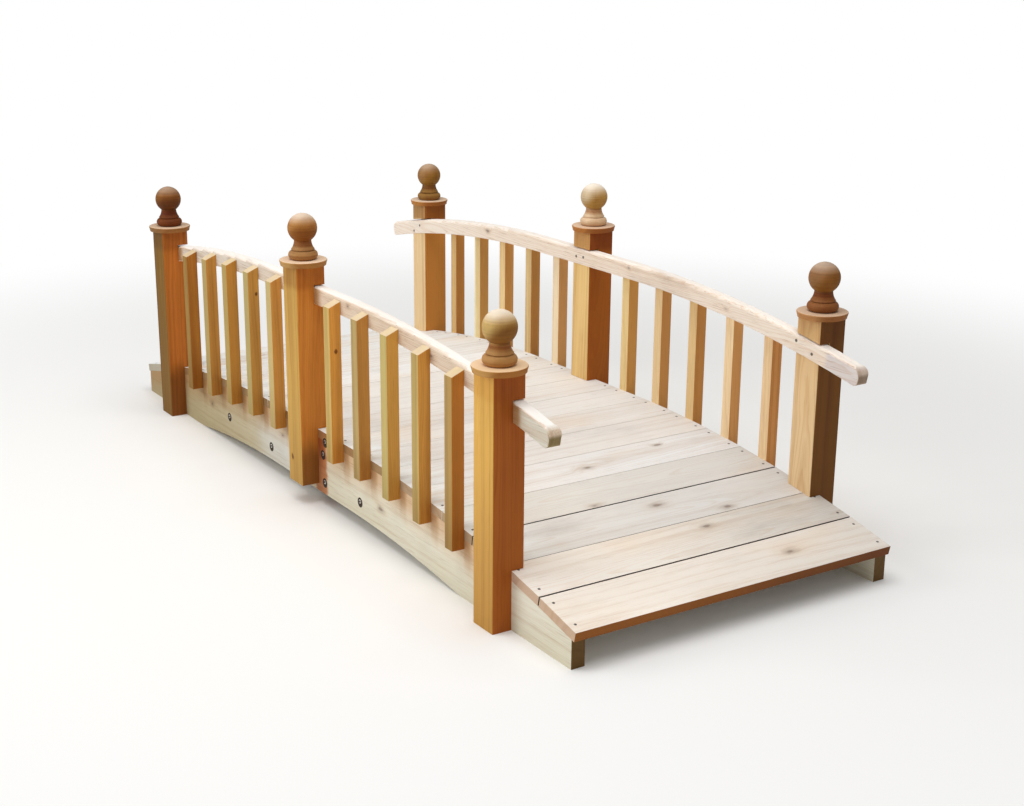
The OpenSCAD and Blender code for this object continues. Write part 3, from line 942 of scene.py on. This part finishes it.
# %% [markdown]
# Two screws go through the handrail into each post. On the outer face of a stringer each bolt
# sits on a washer over a flat disc of painted shadow, which stands for its recess. Screws and bolts
# stand at the same places on both sides.

# %% Screws in the handrails, bolts in the stringers
def on_both_sides(spots, y, inwards):
    """Points at a distance from the bridge's middle plane on both sides of it, with their directions."""
    points = [(x, side * y, z) for side in (-1, 1) for x, z in spots]
    directions = [(0, -side if inwards else side, 0) for side in (-1, 1) for _ in spots]
    return np.array(points), directions


rail_t = 0.038
# places along the bridge and above the ground
rail_spots = [(-1.062, 0.539), (-1.020, 0.565), (-0.024, 0.624), (0.014, 0.627), (0.988, 0.573),
              (1.049, 0.549)]
points, directions = on_both_sides(rail_spots, deck_edge - rail_t, inwards=True)
screw_profile = [(0, 0.0002), (0.0012, 0.00025), (0.0028, 0.0010), (0.0040, 0.0009), (0.0043, 0.0003),
                 (0.0044, -0.0006), (0, -0.0008)]
screw = heads("rail_screws", screw_profile, points, directions, 18)
screw.data.materials.append(metal("screw_steel", (0.20, 0.18, 0.16), 0.40))

bolt_spots = [(-0.285, 0.080), (0.300, 0.082), (-0.607, 0.090), (0.089, 0.198), (0.074, 0.157),
              (0.082, 0.073)]
points, directions = on_both_sides(bolt_spots, deck_edge, inwards=False)
recess_profile = [(0, 0.0003), (0.0080, 0.0003), (0.0138, 0.0003), (0.0144, 0.0001), (0.0145, -0.0006),
                  (0, -0.0008)]
# each recess is a flat disc just proud of the face, dark with painted shadow
sink = heads("bolt_recess_shadows", recess_profile, points, directions, 28)
shadow = Finish("recess_shadow")
shadow_mottle = shadow.noise(shadow.place, 300.0, 3.0) + 0.5
dark = shadow.mix(shadow_mottle, (0.012, 0.007, 0.004), (0.05, 0.03, 0.016))
sink.data.materials.append(shadow.feed(Base_Color=dark, Roughness=0.85))

washer_lift = 0.003
points = points + [0, 0, washer_lift]
washer_profile = [(0, 0.0004), (0.0030, 0.0006), (0.0054, 0.0010), (0.0060, 0.0008), (0.0062, 0.0002),
                  (0, 0.0001)]
washer = heads("stringer_washers", washer_profile, points, directions, 28)
washer.data.materials.append(metal("washer_steel", (0.74, 0.73, 0.70), 0.32))
bolt_profile = [(0, 0.0026), (0.0018, 0.0026), (0.0026, 0.0023), (0.0030, 0.0016), (0.0032, 0.0006),
                (0, 0.0004)]
bolt = heads("stringer_bolts", bolt_profile, points, directions, 28)
bolt.data.materials.append(metal("bolt_steel", (0.10, 0.09, 0.08), 0.5))

# %% [markdown]
# ## Floor, lamps and background
# A plain pale floor carries the bridge and keeps its shadow. Far from the bridge it turns to
# white for the camera alone, so that no horizon shows and no light is added. One large lamp
# hangs high over the bridge and a weaker one stands lower down on the left, where the sun was.
# An even white surround fills the shade.

# %% Studio
reach = 45.0
floor_mesh = bpy.data.meshes.new("floor")
floor_corners = [(-reach, -reach, 0), (reach, -reach, 0), (reach, reach, 0), (-reach, reach, 0)]
floor_mesh.from_pydata(floor_corners, [], [(0, 1, 2, 3)])
floor = bpy.data.objects.new("floor", floor_mesh)
scene.collection.objects.link(floor)
floor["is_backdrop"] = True

pale = Finish("pale_floor")
pale.feed(Base_Color=(0.93, 0.925, 0.91, 1), Roughness=0.9, Specular_IOR_Level=0.1)
x, y, _ = pale.split(pale.place)
far = pale.rise((x ** 2 + y ** 2) ** 0.5, 1.5, 3.8)
seen = pale.node("ShaderNodeLightPath")
white = pale.node("ShaderNodeEmission", None, {"Color": (1, 1, 1, 1), "Strength": 1.0})
plain = Value(pale.tree, pale.shader.outputs[0])
shown = pale.node("ShaderNodeMixShader", None, {0: far * seen, 1: plain, 2: white})
pale.set(pale.tree.nodes["Material Output"].inputs["Surface"], shown)
floor_mesh.materials.append(pale.material)

bridge_middle = np.array([0.0, 0.0, 0.3])


def lamp(name, place, size, power):
    """A square lamp that faces the middle of the bridge."""
    data = bpy.data.lights.new(name, "AREA")
    data.size, data.energy = size, power
    stand(name, data, place, place - bridge_middle)


lamp("overhead", (0.9, -0.8, 5.6), 4.5, 218)
lamp("low_left", (-2.4, -5.6, 3.4), 3.5, 128)

fill = 0.36
surround = bpy.data.worlds.new("surround")
surround.use_nodes = True
scene.world = surround
sky = Net(surround.node_tree)
background = sky.tree.nodes["Background"]
sky.set(background.inputs["Color"], (1, 1, 1, 1))
sky.set(background.inputs["Strength"], sky.node("ShaderNodeLightPath") * (1 - fill) + fill)
scene.view_settings.view_transform = "Standard"
print("floor, two lamps and surround")

# %% [markdown]
# ## Sizes
# The box round the dressed bridge is put next to the box round the bare solids, which
# shows at once whether a screw or a nail stands out past them.

# %% The sizes
sizes = {"cad": [list(map(float, corner)) for corner in cad_box],
         "visual": [list(map(float, corner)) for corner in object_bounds()]}
print("dressed from", sizes["visual"][0], "to", sizes["visual"][1])
